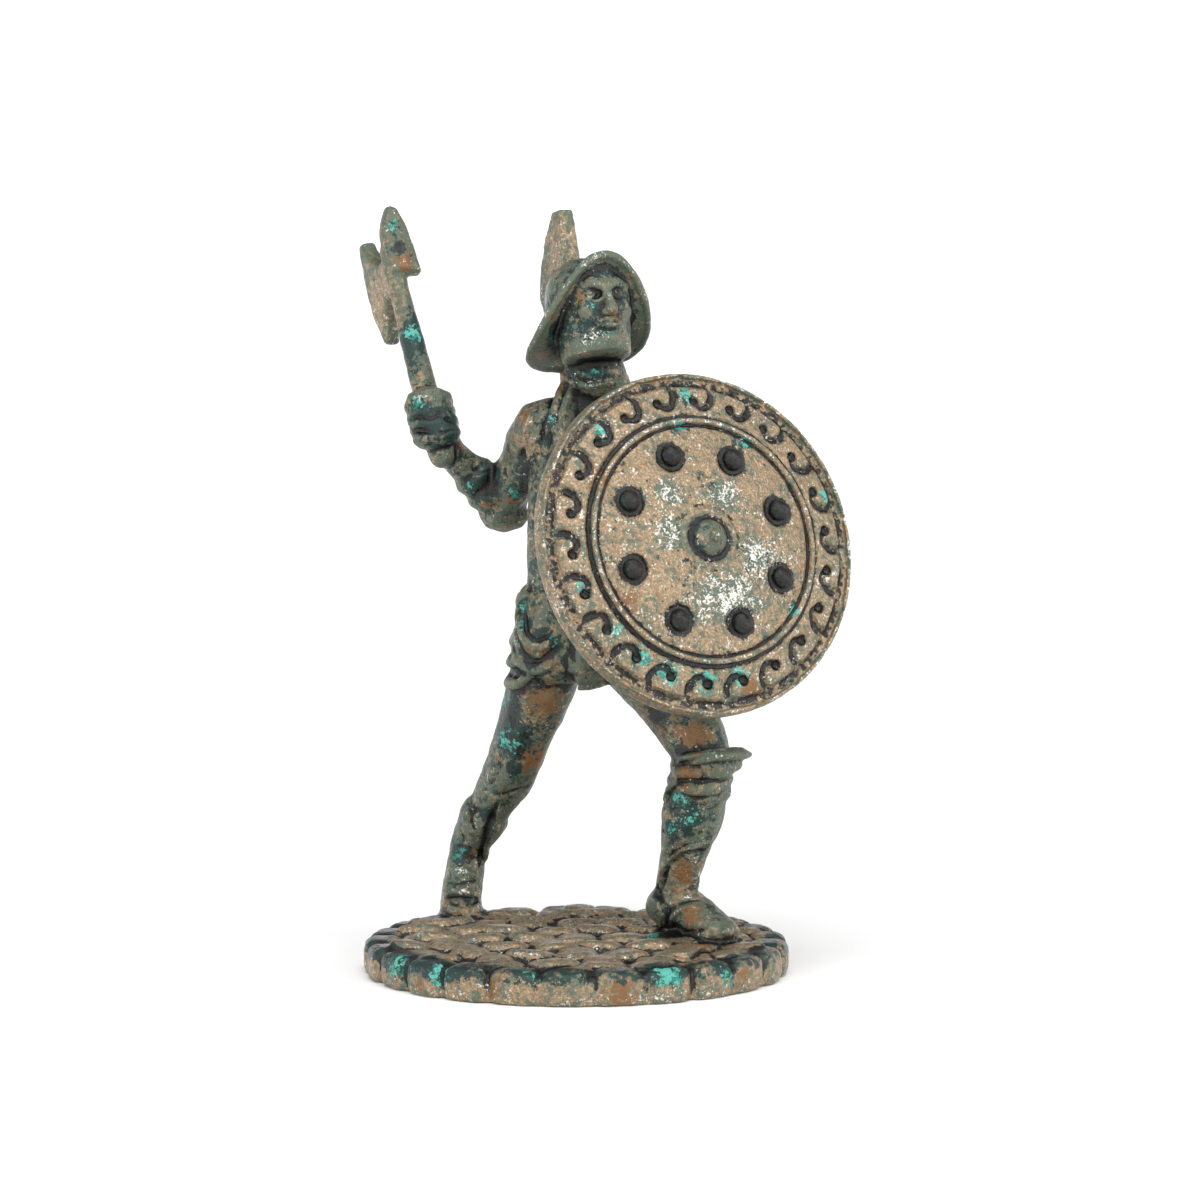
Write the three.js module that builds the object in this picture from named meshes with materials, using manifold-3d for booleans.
// Gladiator statuette: a small solid metal casting of a lunging gladiator on a cobbled ground plate, with his round
// shield cast on its own and fixed to the left forearm.
// Lengths are millimetres and +Z is up. The origin is the middle of the ground plate's flat underside, and the
// statuette is meant to be seen from -Y, the side that the shield and the helmet's visor turn to.
import * as THREE from "three";
import { mergeVertices } from "three/addons/utils/BufferGeometryUtils.js";
import Module from "manifold-3d";

const wasm = await Module();
wasm.setup();

// Driving dimensions
const PLATE_HALF_WIDTH = 12.5;
const PLATE_HALF_DEPTH = 12.0;
const PLATE_HEIGHT = 2.1;
const SHIELD_RADIUS = 10.2;
const SHIELD_CENTRE = [7.1, -3.5, 25.8];
const SHIELD_FACING = [0.444, -0.849, 0.29];
const RIM_WALL = 0.95;
const GLUE_LINE = 0.32;

// The pose: the middle of each joint of the body
const PELVIS = [0.1, 3.5, 19.4];
const NECK = [1.1, 2.9, 34.4];
const HEAD = [0.65, 1.9, 39.3];
const RIGHT_SHOULDER = [-2.15, 2.6, 32.1];
const RIGHT_ELBOW = [-4.55, 5.9, 27.5];
const RIGHT_WRIST = [-7.5, 4.5, 30.5];
const RIGHT_FIST = [-8.55, 3.9, 32.4];
const AXE_MIDDLE = [-11.0, 7.7, 41.3];
const LEFT_SHOULDER = [5.0, 3.9, 32.2];
const LEFT_ELBOW = [8.8, 1.2, 26.8];
const LEFT_FIST = [3.9, -2.5, 25.0];
const RIGHT_HIP = [-1.5, 3.4, 18.4];
const RIGHT_KNEE = [-4.0, 6.7, 11.2];
const RIGHT_ANKLE = [-6.75, 10.5, 5.9];
const LEFT_HIP = [2.5, 3.2, 19.0];
const LEFT_KNEE = [7.55, -0.3, 12.5];
const LEFT_ANKLE = [5.95, 1.1, 5.0];

// Directions that the parts of the figure face
const CHEST_FRONT = [0.3, -0.95, 0];
const STRIDE_FRONT = [0.77, -0.64, 0];
const HEAD_TURN = THREE.MathUtils.degToRad(27);
const HEAD_TIP_BACK = THREE.MathUtils.degToRad(18);

const vec = (p) => new THREE.Vector3(...p);
const between = (p, q, share) => p.map((value, i) => value + (q[i] - value) * share);
const moved = (p, ...shift) => p.map((value, i) => value + shift[i]);

// A closed three.js geometry as a solid that can be joined and cut
function solidOf(geometry) {
  const bare = new THREE.BufferGeometry().setAttribute("position", geometry.getAttribute("position"));
  if (geometry.index) bare.setIndex(geometry.index);
  const merged = mergeVertices(bare, 1e-4);
  const mesh = new wasm.Mesh({
    numProp: 3,
    vertProperties: new Float32Array(merged.attributes.position.array),
    triVerts: new Uint32Array(merged.index.array),
  });
  return new wasm.Manifold(mesh);
}

// A copy of a geometry with every corner sent through a function of its place
function reshaped(geometry, place) {
  const corners = geometry.getAttribute("position");
  const corner = new THREE.Vector3();
  for (let i = 0; i < corners.count; i++) {
    corner.fromBufferAttribute(corners, i);
    const to = place(corner);
    corners.setXYZ(i, to.x, to.y, to.z);
  }
  return geometry;
}

// A frame at a point, with its third axis along a direction and its second as near to upright as it can be
function frameAt(origin, along, upright = [0, 0, 1]) {
  const third = vec(along).normalize();
  const first = vec(upright).cross(third).normalize();
  const second = third.clone().cross(first);
  return new THREE.Matrix4().makeBasis(first, second, third).setPosition(vec(origin));
}

// A limb: a tube through stations of [place, half breadth, half depth], its depth measured towards `front`
function limb(stations, front, sides = 10, stepsPerSpan = 2) {
  const path = new THREE.CatmullRomCurve3(stations.map(([place]) => vec(place)));
  const girth = new THREE.CatmullRomCurve3(
    stations.map(([, breadth, depth = breadth]) => new THREE.Vector3(breadth, depth, 0)),
  );
  const tube = new THREE.CylinderGeometry(1, 1, 1, sides, (stations.length - 1) * stepsPerSpan);
  const forward = vec(front).normalize();
  const bent = reshaped(tube, ({ x, y, z }) => {
    const share = THREE.MathUtils.clamp(y + 0.5, 0, 1);
    const tangent = path.getTangent(share);
    const across = tangent.clone().cross(forward).normalize();
    const along = across.clone().cross(tangent);
    const size = girth.getPoint(share);
    return path
      .getPoint(share)
      .addScaledVector(across, x * size.x)
      .addScaledVector(along, z * size.y);
  });
  return solidOf(bent);
}

// An egg shape with its own three half sizes, in a frame or at a point
function egg(frame, sizes, columns = 10, rows = 6) {
  const shape = new THREE.SphereGeometry(1, columns, rows).scale(...sizes);
  const place = Array.isArray(frame) ? new THREE.Matrix4().setPosition(vec(frame)) : frame;
  return solidOf(shape.applyMatrix4(place));
}

// A rounded rod of one thickness through a row of points, such as a finger or a fold of cloth
function rod(points, radius, front, sides = 6) {
  const last = points.length - 1;
  const stations = points.map((place, i) => [place, i === 0 || i === last ? radius * 0.55 : radius]);
  return limb(stations, front, sides, 1);
}

// A ring around an axis, such as a cuff, a belt or a rolled pad
function ring(frame, [halfX, halfY], thickness, height, segments = 12) {
  const torus = new THREE.TorusGeometry(1, 0.5, 5, segments);
  const shaped = reshaped(torus, ({ x, y, z }) => {
    const reach = Math.hypot(x, y);
    const outward = (reach - 1) * 2 * thickness;
    return new THREE.Vector3((x / reach) * (halfX + outward), (y / reach) * (halfY + outward), z * 2 * height);
  });
  return solidOf(shaped.applyMatrix4(frame));
}

const joined = (pieces) => pieces.reduce((whole, piece) => whole.add(piece));

// The metal is solid: pockets that overlapping shapes leave closed inside it are filled
const castSolid = (solid) => joined(solid.decompose().filter((shell) => shell.volume() > 0));

// The cobbled ground plate: a slab with a scalloped edge of stones, and low six-sided stones in rows on its top
function groundPlate() {
  const EDGE_STONES = 23;
  const SCALLOP_STEPS = 2;
  const SCALLOP_DEPTH = 0.4;
  const EDGE_BEVEL = 0.3;
  const SLAB_HEIGHT = PLATE_HEIGHT - 0.35;
  const COLUMN_PITCH = 3.05;
  const ROW_PITCH = 2.55;
  const edge = new THREE.Shape();
  for (let i = 0; i < EDGE_STONES * SCALLOP_STEPS; i++) {
    const share = i / SCALLOP_STEPS;
    const angle = ((share + 0.25 * Math.sin(Math.floor(share) * 2.4)) / EDGE_STONES) * 2 * Math.PI;
    const swell = 1 - (SCALLOP_DEPTH * Math.abs(Math.cos(share * Math.PI)) ** 3) / PLATE_HALF_WIDTH;
    const [x, y] = [Math.cos(angle) * PLATE_HALF_WIDTH * swell, Math.sin(angle) * PLATE_HALF_DEPTH * swell];
    if (i === 0) edge.moveTo(x, y);
    else edge.lineTo(x, y);
  }
  edge.closePath();
  const slab = new THREE.ExtrudeGeometry(edge, {
    depth: SLAB_HEIGHT - EDGE_BEVEL + 1,
    bevelThickness: EDGE_BEVEL,
    bevelSize: EDGE_BEVEL * 1.4,
    bevelOffset: -EDGE_BEVEL * 1.4,
    bevelSegments: 1,
  }).translate(0, 0, -1);
  const stones = [solidOf(slab)];
  for (let row = -5; row <= 5; row++) {
    for (let column = -5; column <= 5; column++) {
      const x = (column + (row % 2 ? 0.5 : 0)) * COLUMN_PITCH + 0.12 * Math.sin(row * 5.1 + column * 2.3);
      const y = row * ROW_PITCH + 0.12 * Math.cos(row * 3.7 + column * 4.9);
      if (Math.hypot(x / PLATE_HALF_WIDTH, y / PLATE_HALF_DEPTH) > 0.86) continue;
      const rise = 0.12 * Math.sin(row * 1.9 + column * 3.1);
      const stone = new THREE.CylinderGeometry(1.05, 1.49, 0.8, 6)
        .rotateX(Math.PI / 2)
        .scale(1.06, 0.96, 1)
        .translate(x, y, SLAB_HEIGHT + rise);
      stones.push(solidOf(stone));
    }
  }
  const below = solidOf(new THREE.BoxGeometry(40, 40, 4).translate(0, 0, -2));
  return joined(stones).subtract(below);
}

// Trunk, neck and the loincloth with its belt and hanging folds
function trunk() {
  const front = CHEST_FRONT;
  const side = [0.95, 0.3, 0];
  const waist = [-0.15, 3.4, 22.6];
  const ribs = [0.25, 3.3, 27.2];
  const breast = [0.75, 3.1, 30.8];
  const body = limb(
    [
      [moved(PELVIS, 0, 0, -1.4), 2.9, 2.1],
      [PELVIS, 3.55, 2.5],
      [waist, 2.95, 2.15],
      [ribs, 3.35, 2.4],
      [breast, 3.75, 2.55],
      [moved(NECK, -0.2, 0.1, -1.1), 2.7, 1.8],
      [moved(NECK, 0, 0, 0.2), 1.2, 1.2],
    ],
    front,
    12,
  );
  const neck = limb(
    [
      [moved(NECK, 0, 0.2, -0.8), 1.6],
      [moved(NECK, 0.05, -0.1, 1.2), 1.35],
      [between(NECK, HEAD, 0.6), 1.3],
    ],
    front,
    10,
  );
  const chest = [-1, 1].map((hand) =>
    egg(
      frameAt(moved(breast, side[0] * hand * 1.6 + front[0] * 1.3, side[1] * hand * 1.6 + front[1] * 1.3, 0.2), front),
      [1.8, 1.35, 1.25],
      6,
      4,
    ),
  );
  const blades = [-1, 1].map((hand) =>
    egg(
      frameAt(moved(breast, side[0] * hand * 1.7 - front[0] * 1.3, side[1] * hand * 1.7 - front[1] * 1.3, 0.2), front),
      [1.5, 1.8, 1.1],
      6,
      4,
    ),
  );
  return joined([body, neck, ...chest, ...blades]);
}

function loincloth() {
  const hipFront = [0.5, -0.87, 0];
  const wrap = limb(
    [
      [moved(PELVIS, 0.1, 0, -2.4), 2.6, 1.8],
      [moved(PELVIS, 0.05, 0, -1.4), 3.75, 2.75],
      [moved(PELVIS, -0.1, 0, 0.6), 4.3, 2.85],
      [moved(PELVIS, -0.2, -0.1, 2.6), 3.3, 2.45],
    ],
    hipFront,
    12,
    1,
  );
  const belt = ring(frameAt(moved(PELVIS, -0.2, -0.1, 2.3), [0, 0, 1], [0, 1, 0]), [3.3, 2.5], 0.4, 0.75, 12);
  const folds = [0, 1, 2].map((step) => {
    const drop = step * 1.15;
    const swell = 0.25 * step;
    return rod(
      [
        moved(PELVIS, -1.9, -2.35, 1.6 - drop),
        moved(PELVIS, -3.0 - swell, -1.7, 0.4 - drop * 1.25),
        moved(PELVIS, -3.9 - swell * 0.6, -0.1, -0.1 - drop * 1.1),
        moved(PELVIS, -3.3, 1.7, 1.0 - drop),
      ],
      0.42,
      [0, 0, 1],
    );
  });
  const flap = limb(
    [
      [moved(PELVIS, 0.7, -2.4, 1.9), 1.1, 0.35],
      [moved(PELVIS, 0.9, -2.8, -0.4), 1.25, 0.45],
      [moved(PELVIS, 0.8, -2.0, -2.7), 1.35, 0.4],
    ],
    hipFront,
    8,
  );
  return joined([wrap, belt, ...folds, flap]);
}

// Twisted cloth from the nape down the right of the chest, behind the shield's edge
function shoulderCloth() {
  const line = [
    moved(NECK, -0.9, 0.9, 0.9),
    moved(NECK, -1.55, -0.7, 0.1),
    moved(NECK, -1.9, -2.2, -1.9),
    moved(NECK, -1.8, -2.9, -4.4),
    moved(NECK, -0.7, -2.8, -6.8),
  ];
  const collar = ring(frameAt(moved(NECK, 0.1, 0, 0.55), [0.1, -0.25, 1]), [1.75, 1.7], 0.45, 0.5, 10);
  return joined([rod(line, 0.75, [0, -1, 0]), collar]);
}

// The right leg pushes off behind, in a short boot whose heel is off the ground
function rightLeg() {
  const front = STRIDE_FRONT;
  const shin = (share) => between(RIGHT_KNEE, RIGHT_ANKLE, share);
  const leg = limb(
    [
      [moved(RIGHT_HIP, 0.1, -0.1, 1.0), 2.0, 2.2],
      [between(RIGHT_HIP, RIGHT_KNEE, 0.25), 1.95, 2.2],
      [between(RIGHT_HIP, RIGHT_KNEE, 0.65), 1.62, 1.85],
      [RIGHT_KNEE, 1.45, 1.75],
      [moved(shin(0.3), 0.1, 0.3, 0.1), 1.3, 1.6],
      [shin(0.62), 1.1, 1.3],
    ],
    front,
  );
  const boot = limb(
    [
      [shin(0.52), 1.3, 1.45],
      [shin(0.6), 1.5, 1.65],
      [shin(0.8), 1.25, 1.4],
      [moved(RIGHT_ANKLE, 0, 0.15, -0.2), 1.05, 1.25],
      [moved(RIGHT_ANKLE, -0.15, -0.1, -1.5), 1.15, 1.3],
      [moved(RIGHT_ANKLE, -0.35, -0.8, -2.9), 1.25, 1.3],
      [moved(RIGHT_ANKLE, -0.4, -1.2, -3.8), 1.2, 1.35],
    ],
    front,
  );
  const toes = egg([-7.2, 8.5, 2.4], [1.3, 1.5, 0.75], 8, 5);
  const spill = egg([-6.9, 8.7, 1.9], [1.9, 1.7, 0.5], 8, 4);
  return joined([leg, boot, toes, spill]);
}

// The left leg takes the step, with a greave that flares at the knee over two rolls of padding, and a sandal
function leftLeg() {
  const front = STRIDE_FRONT;
  const shin = (share) => between(LEFT_KNEE, LEFT_ANKLE, share);
  const thigh = limb(
    [
      [moved(LEFT_HIP, -0.6, 0.2, 0.6), 2.0, 2.2],
      [moved(between(LEFT_HIP, LEFT_KNEE, 0.3), 0.35, 0, 0.5), 2.15, 2.3],
      [moved(between(LEFT_HIP, LEFT_KNEE, 0.7), 0.4, 0, 0.5), 1.9, 2.1],
      [moved(LEFT_KNEE, 0.05, 0, 0), 1.6, 1.75],
      [shin(0.12), 1.4, 1.5],
    ],
    front,
  );
  const lip = ring(frameAt(moved(LEFT_KNEE, 0.75, -0.5, 0.4), [-0.1, 0.16, 1]), [1.9, 1.8], 0.42, 0.26, 12);
  const greave = limb(
    [
      [shin(0.0), 1.5, 1.6],
      [shin(0.07), 2.05, 2.1],
      [shin(0.12), 1.75, 1.85],
      [shin(0.19), 2.0, 2.1],
      [shin(0.25), 1.75, 1.85],
      [shin(0.45), 1.8, 1.95],
      [shin(0.75), 1.35, 1.45],
      [shin(1.05), 1.2, 1.25],
    ],
    front,
    10,
    1,
  );
  const foot = limb(
    [
      [moved(LEFT_ANKLE, -1.35, 1.35, -1.7), 0.75, 0.8],
      [moved(LEFT_ANKLE, -0.7, 0.7, -1.35), 1.25, 1.45],
      [moved(LEFT_ANKLE, 0.5, -0.6, -1.3), 1.3, 1.5],
      [moved(LEFT_ANKLE, 1.8, -1.8, -2.0), 1.45, 1.05],
      [moved(LEFT_ANKLE, 2.7, -2.7, -2.35), 1.35, 0.8],
      [moved(LEFT_ANKLE, 3.25, -3.2, -2.45), 0.8, 0.5],
    ],
    [0, 0, 1],
    10,
    1,
  );
  const spill = egg([6.8, -0.9, 1.9], [3.1, 2.3, 0.5], 8, 4);
  return joined([thigh, lip, greave, foot, spill]);
}

// The raised right arm in its wound guard, with the fist that grips the axe
const shaftLine = vec(AXE_MIDDLE).sub(vec(RIGHT_FIST)).normalize();

function rightArm() {
  const arm = limb(
    [
      [moved(RIGHT_SHOULDER, 1.3, -0.3, 0.3), 1.6, 1.7],
      [RIGHT_SHOULDER, 1.75, 1.8],
      [between(RIGHT_SHOULDER, RIGHT_ELBOW, 0.45), 1.4, 1.5],
      [RIGHT_ELBOW, 1.45, 1.5],
    ],
    CHEST_FRONT,
  );
  const point = egg(moved(RIGHT_ELBOW, 0.2, 0.1, -0.8), [1.65, 1.3, 1.15], 8, 5);
  const GUARD_ROLLS = 3;
  const GUARD_END = 0.82;
  const rolls = Array.from({ length: 2 * GUARD_ROLLS }, (_, i) => {
    const share = (i / (2 * GUARD_ROLLS)) * GUARD_END;
    const girth = 1.75 - 0.6 * share - (i % 2 ? 0.28 : 0);
    return [between(RIGHT_ELBOW, RIGHT_WRIST, share), girth, girth];
  });
  const forearm = limb(
    [[moved(RIGHT_ELBOW, 0.6, 0, -0.3), 1.2, 1.3], ...rolls, [RIGHT_WRIST, 0.95, 1.05], [RIGHT_FIST, 1.0, 1.1]],
    CHEST_FRONT,
    10,
    1,
  );
  return joined([arm, forearm, point]);
}

function rightFist() {
  const grip = frameAt(RIGHT_FIST, shaftLine.toArray(), [0.3, 1, 0]);
  const inGrip = (x, y, z) => new THREE.Vector3(x, y, z).applyMatrix4(grip).toArray();
  const FINGERS = 4;
  const FINGER_PITCH = 0.7;
  const FINGER_REACH = 1.65;
  const top = (FINGERS / 2) * FINGER_PITCH;
  const knuckles = Array.from({ length: 2 * FINGERS - 1 }, (_, i) => {
    const reach = i % 2 ? FINGER_REACH - 0.3 : FINGER_REACH;
    return [inGrip(0.1, -0.25, top - ((i + 1) * FINGER_PITCH) / 2), reach, reach];
  });
  const fingers = limb(
    [[inGrip(0, 0, top + 0.1), 1.1], ...knuckles, [inGrip(0, 0, -top - 0.1), 1.1]],
    [0, -1, 0],
    10,
    1,
  );
  const thumb = rod([inGrip(-1.2, -0.4, 0.9), inGrip(-0.5, -1.1, 1.6), inGrip(0.6, -1.2, 1.5)], 0.45, [0, 0, 1], 5);
  return joined([fingers, thumb]);
}

// The axe: a round shaft that ends in a spear point, with a crescent blade on its far side
function axe() {
  const SHAFT_BUTT = -2.0;
  const reach = vec(AXE_MIDDLE).distanceTo(vec(RIGHT_FIST));
  const along = (distance) => vec(RIGHT_FIST).addScaledVector(shaftLine, distance).toArray();
  const shaft = limb(
    [
      [along(SHAFT_BUTT), 0.5],
      [along(SHAFT_BUTT + 0.3), 0.78],
      [along(reach * 0.5), 0.7],
      [along(reach * 0.8), 0.6],
      [along(reach), 0.68],
      [along(reach + 1.2), 0.6],
    ],
    [0, -1, 0],
    8,
    1,
  );
  const back = new THREE.Vector3(-0.45, 0.9, 0);
  back.addScaledVector(shaftLine, -back.dot(shaftLine)).normalize();
  const flat = back.clone().cross(shaftLine);

  const CHORD = 6.7;
  const BLADE_REACH = 3.7;
  const BLADE_THICKNESS = 1.0;
  const crescent = new THREE.Shape();
  crescent.moveTo(-0.3, 1.1);
  crescent.quadraticCurveTo(1.7, 0.9, 2.3, CHORD / 2 - 0.6);
  crescent.quadraticCurveTo(2.5, CHORD / 2 + 0.2, 3.1, CHORD / 2 - 0.1);
  crescent.quadraticCurveTo(BLADE_REACH + 0.4, 0, 3.1, -CHORD / 2 + 0.1);
  crescent.lineTo(2.4, -CHORD / 2);
  crescent.quadraticCurveTo(1.8, -0.9, -0.3, -1.1);
  crescent.closePath();

  const POINT_LENGTH = 4.4;
  const POINT_HALF_WIDTH = 0.95;
  const point = new THREE.Shape();
  point.moveTo(-POINT_HALF_WIDTH, 0);
  point.quadraticCurveTo(-POINT_HALF_WIDTH * 1.1, POINT_LENGTH * 0.7, -0.15, POINT_LENGTH);
  point.lineTo(0.15, POINT_LENGTH);
  point.quadraticCurveTo(POINT_HALF_WIDTH * 0.9, POINT_LENGTH * 0.6, POINT_HALF_WIDTH, -0.15);
  point.closePath();

  const plate = (shape, thickness) => {
    const bevel = 0.2;
    const settings = {
      depth: thickness - 2 * bevel,
      bevelThickness: bevel,
      bevelSize: bevel,
      bevelOffset: -bevel,
      bevelSegments: 1,
      curveSegments: 4,
    };
    return new THREE.ExtrudeGeometry(shape, settings).translate(0, 0, bevel - thickness / 2);
  };
  const bladeFrame = new THREE.Matrix4().makeBasis(back, shaftLine, flat).setPosition(vec(AXE_MIDDLE));
  const blade = plate(crescent, BLADE_THICKNESS).translate(0, -0.2, 0).applyMatrix4(bladeFrame);
  const pointFrame = new THREE.Matrix4()
    .makeBasis(flat, shaftLine, back.clone().negate())
    .setPosition(vec(along(reach - 0.35)));
  const spear = plate(point, 1.1).rotateZ(-0.06).translate(0.5, 0, 0.35).applyMatrix4(pointFrame);
  return joined([shaft, solidOf(blade), solidOf(spear)]);
}

// The left arm reaches behind the shield, and its fist holds the grip
function leftArm() {
  const arm = limb(
    [
      [moved(LEFT_SHOULDER, -1.2, -0.2, 0.3), 1.6, 1.7],
      [LEFT_SHOULDER, 1.8, 1.8],
      [between(LEFT_SHOULDER, LEFT_ELBOW, 0.5), 1.45, 1.5],
      [LEFT_ELBOW, 1.3, 1.3],
    ],
    CHEST_FRONT,
  );
  const forearm = limb(
    [
      [moved(LEFT_ELBOW, 0.4, 0.6, 0.2), 1.1, 1.1],
      [between(LEFT_ELBOW, LEFT_FIST, 0.2), 1.35, 1.3],
      [between(LEFT_ELBOW, LEFT_FIST, 0.75), 0.95, 0.95],
      [LEFT_FIST, 1.2, 1.2],
      [moved(LEFT_FIST, -0.9, -0.5, 0), 0.9, 0.9],
    ],
    SHIELD_FACING,
  );
  const point = egg(LEFT_ELBOW, [1.35, 1.35, 1.3], 8, 6);
  return joined([arm, forearm, point]);
}

// The helmet in its own frame: x to the figure's left, y up, z forward
function helmet() {
  const forward = new THREE.Vector3(
    Math.sin(HEAD_TURN) * Math.cos(HEAD_TIP_BACK),
    -Math.cos(HEAD_TURN) * Math.cos(HEAD_TIP_BACK),
    Math.sin(HEAD_TIP_BACK),
  );
  const head = frameAt(HEAD, forward.toArray());
  const skull = egg(head.clone().multiply(new THREE.Matrix4().makeTranslation(0, 0.45, -0.35)), [2.25, 2.55, 2.6], 10, 7);
  const VISOR = [
    [-2.95, 1.45],
    [-2.75, 1.75],
    [-1.7, 1.9],
    [-1.45, 2.1],
    [0.2, 2.25],
    [1.6, 2.1],
    [2.2, 1.5],
  ];
  const outline = [new THREE.Vector2(0, VISOR[0][0])];
  VISOR.forEach(([height, radius]) => outline.push(new THREE.Vector2(radius, height)));
  outline.push(new THREE.Vector2(0, VISOR.at(-1)[0]));
  const visorShape = new THREE.LatheGeometry(outline, 10).scale(1, 1, 1.15).translate(0, 0, 0.25);
  const visor = solidOf(visorShape.applyMatrix4(head));

  // The brim stands high over the face, and sweeps down to a neck guard
  const BRIM_STEPS = 20;
  const brimAt = (turn, share, lift) => {
    const ahead = (1 + Math.cos(turn)) / 2;
    const outer = new THREE.Vector3(
      THREE.MathUtils.lerp(4.1, 3.2, ahead) * Math.sin(turn),
      -2.65 + 5.0 * ahead ** 2.5,
      Math.cos(turn) * THREE.MathUtils.lerp(4.1, 3.2, ahead),
    );
    const inner = new THREE.Vector3(1.9 * Math.sin(turn), outer.y * 0.72 + 0.3, Math.cos(turn) * 2.1);
    const place = inner.lerp(outer, share);
    place.y += lift;
    return place;
  };
  const hoop = new THREE.TorusGeometry(1, 0.4, 4, BRIM_STEPS).rotateX(Math.PI / 2);
  const brimShape = reshaped(hoop, ({ x, y, z }) => {
    const share = (Math.hypot(x, z) - 0.6) / 0.8;
    return brimAt(Math.atan2(x, z), share, Math.sign(Math.round(y * 100)) * 0.3);
  });
  const brim = solidOf(brimShape.applyMatrix4(head));

  const fin = new THREE.Shape();
  fin.moveTo(0.9, 6.0);
  fin.lineTo(0.95, 1.4);
  fin.lineTo(2.6, -0.2);
  fin.lineTo(4.5, 0.7);
  fin.lineTo(5.0, 1.9);
  fin.quadraticCurveTo(4.1, 4.2, 1.9, 6.15);
  fin.closePath();
  const CREST_THICKNESS = 0.9;
  const crestShape = new THREE.ExtrudeGeometry(fin, { depth: CREST_THICKNESS, bevelEnabled: false, curveSegments: 4 })
    .translate(0, 0, -CREST_THICKNESS / 2)
    .rotateY(Math.PI / 2);
  const crest = solidOf(crestShape.applyMatrix4(head));

  const eyes = [-1, 1].map((hand) =>
    egg(
      head.clone().multiply(new THREE.Matrix4().makeTranslation(hand * 0.85, 0.75, 2.75)),
      [0.5, 0.28, 0.5],
      8,
      6,
    ),
  );
  const slot = new THREE.BoxGeometry(2.2, 0.28, 1.0).translate(0, -0.95, 2.85);
  const cuts = joined([...eyes, solidOf(slot.applyMatrix4(head))]);
  return joined([skull, visor, brim, crest]).subtract(cuts);
}

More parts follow.
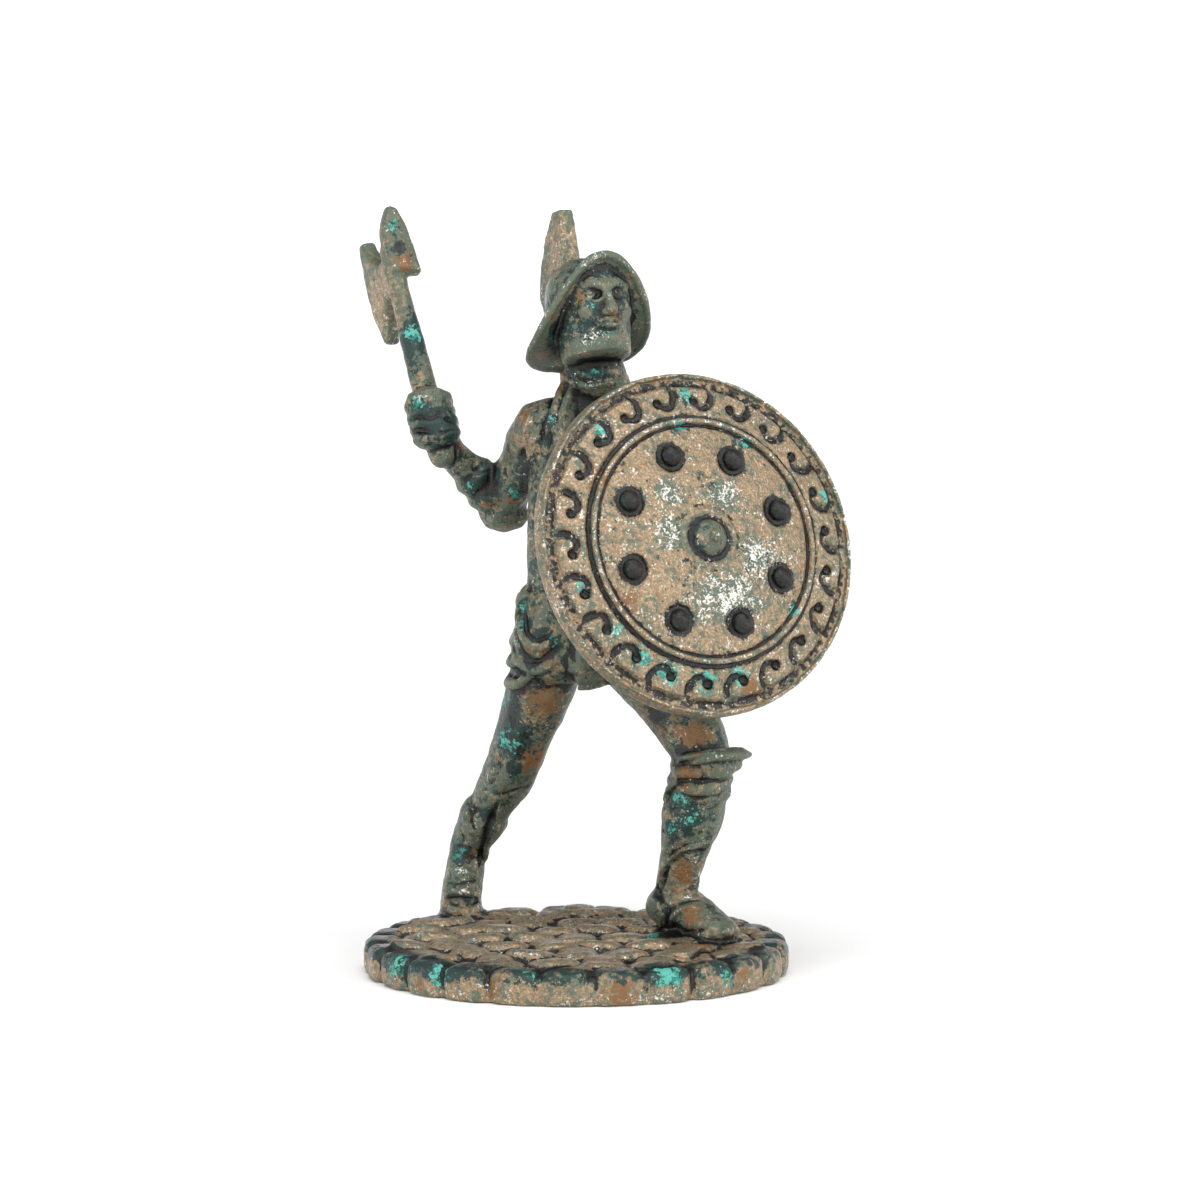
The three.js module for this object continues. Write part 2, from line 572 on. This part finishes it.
// The shield in its own frame: z out of its face, y towards its top
function shield() {
  const WAVES = 22;
  const WAVE_CIRCLE = 8.65;
  const STUDS = 8;
  const STUD_CIRCLE = 5.28;
  const STUD_RADIUS = 0.72;
  const RING_RADIUS = 7.15;
  const CROWN = 1.4;
  const surface = (radius) => CROWN * (1 - (radius / SHIELD_RADIUS) ** 2);
  const profile = [
    [0, -RIM_WALL],
    [SHIELD_RADIUS, -RIM_WALL],
    [SHIELD_RADIUS, -0.15],
    [SHIELD_RADIUS - 0.3, 0.05],
    [SHIELD_RADIUS - 0.5, -0.1],
    [SHIELD_RADIUS - 0.8, surface(SHIELD_RADIUS - 0.8) + 0.08],
    [RING_RADIUS + 0.3, surface(RING_RADIUS) - 0.1],
    [RING_RADIUS, surface(RING_RADIUS) + 0.2],
    [RING_RADIUS - 0.3, surface(RING_RADIUS) - 0.1],
    [4, surface(4)],
    [1.5, surface(1.5)],
    [1.15, surface(1.15) + 0.6],
    [0.55, 2.35],
    [0, 2.55],
  ].map(([radius, height]) => new THREE.Vector2(radius, height));
  const dish = solidOf(new THREE.LatheGeometry(profile, 28).rotateX(Math.PI / 2));
  const studs = Array.from({ length: STUDS }, (_, i) => {
    const angle = ((i + 0.38) / STUDS) * 2 * Math.PI;
    const place = [STUD_CIRCLE * Math.cos(angle), STUD_CIRCLE * Math.sin(angle), surface(STUD_CIRCLE) - 0.1];
    return egg(place, [STUD_RADIUS, STUD_RADIUS, 0.6], 6, 3);
  });

  // The running scroll: between two waves a channel comes in from the rim and hooks back under the crest
  const channel = new THREE.Shape();
  channel.moveTo(0.15, 0.85);
  channel.lineTo(0.75, 0.1);
  channel.quadraticCurveTo(0.6, -0.95, -0.35, -0.45);
  channel.lineTo(-0.2, -0.1);
  channel.lineTo(0.25, -0.3);
  channel.lineTo(0.3, 0.2);
  channel.lineTo(-0.3, 0.85);
  channel.closePath();
  const CHANNEL_DEPTH = 0.35;
  const channels = Array.from({ length: WAVES }, (_, i) => {
    const shape = new THREE.ExtrudeGeometry(channel, { depth: 1, bevelEnabled: false, curveSegments: 2 })
      .translate(0, 0, -CHANNEL_DEPTH)
      .rotateX(-0.2)
      .translate(0, WAVE_CIRCLE, surface(WAVE_CIRCLE))
      .rotateZ((i / WAVES) * 2 * Math.PI);
    return solidOf(shape);
  });
  return joined([dish, ...studs]).subtract(joined(channels));
}

function meshOf(solid, name, material) {
  const made = solid.getMesh();
  const geometry = new THREE.BufferGeometry();
  geometry.setAttribute("position", new THREE.BufferAttribute(new Float32Array(made.vertProperties), 3));
  geometry.setIndex(new THREE.BufferAttribute(new Uint32Array(made.triVerts), 1));
  geometry.computeVertexNormals();
  const mesh = new THREE.Mesh(geometry, material);
  mesh.name = name;
  return mesh;
}

const bronze = new THREE.MeshStandardMaterial({ color: 0x7d6f5c, roughness: 0.55, metalness: 0.7 });
const wornBronze = new THREE.MeshStandardMaterial({ color: 0x9c8570, roughness: 0.5, metalness: 0.7 });

const figureParts = [
  groundPlate(),
  trunk(),
  loincloth(),
  shoulderCloth(),
  rightLeg(),
  leftLeg(),
  rightArm(),
  rightFist(),
  axe(),
  leftArm(),
  helmet(),
];
const shieldMesh = meshOf(castSolid(shield()), "shield", wornBronze);
shieldMesh.applyMatrix4(frameAt(SHIELD_CENTRE, SHIELD_FACING));
shieldMesh.updateMatrixWorld(true);
const shieldRoom = new THREE.CylinderGeometry(SHIELD_RADIUS + 1, SHIELD_RADIUS + 1, 8, 32)
  .rotateX(Math.PI / 2)
  .translate(0, 0, 4 - RIM_WALL - GLUE_LINE)
  .applyMatrix4(frameAt(SHIELD_CENTRE, SHIELD_FACING));
const figure = castSolid(joined(figureParts).subtract(solidOf(shieldRoom)));

const statuette = new THREE.Group();
statuette.add(meshOf(figure, "gladiator", bronze), shieldMesh);
export default statuette;
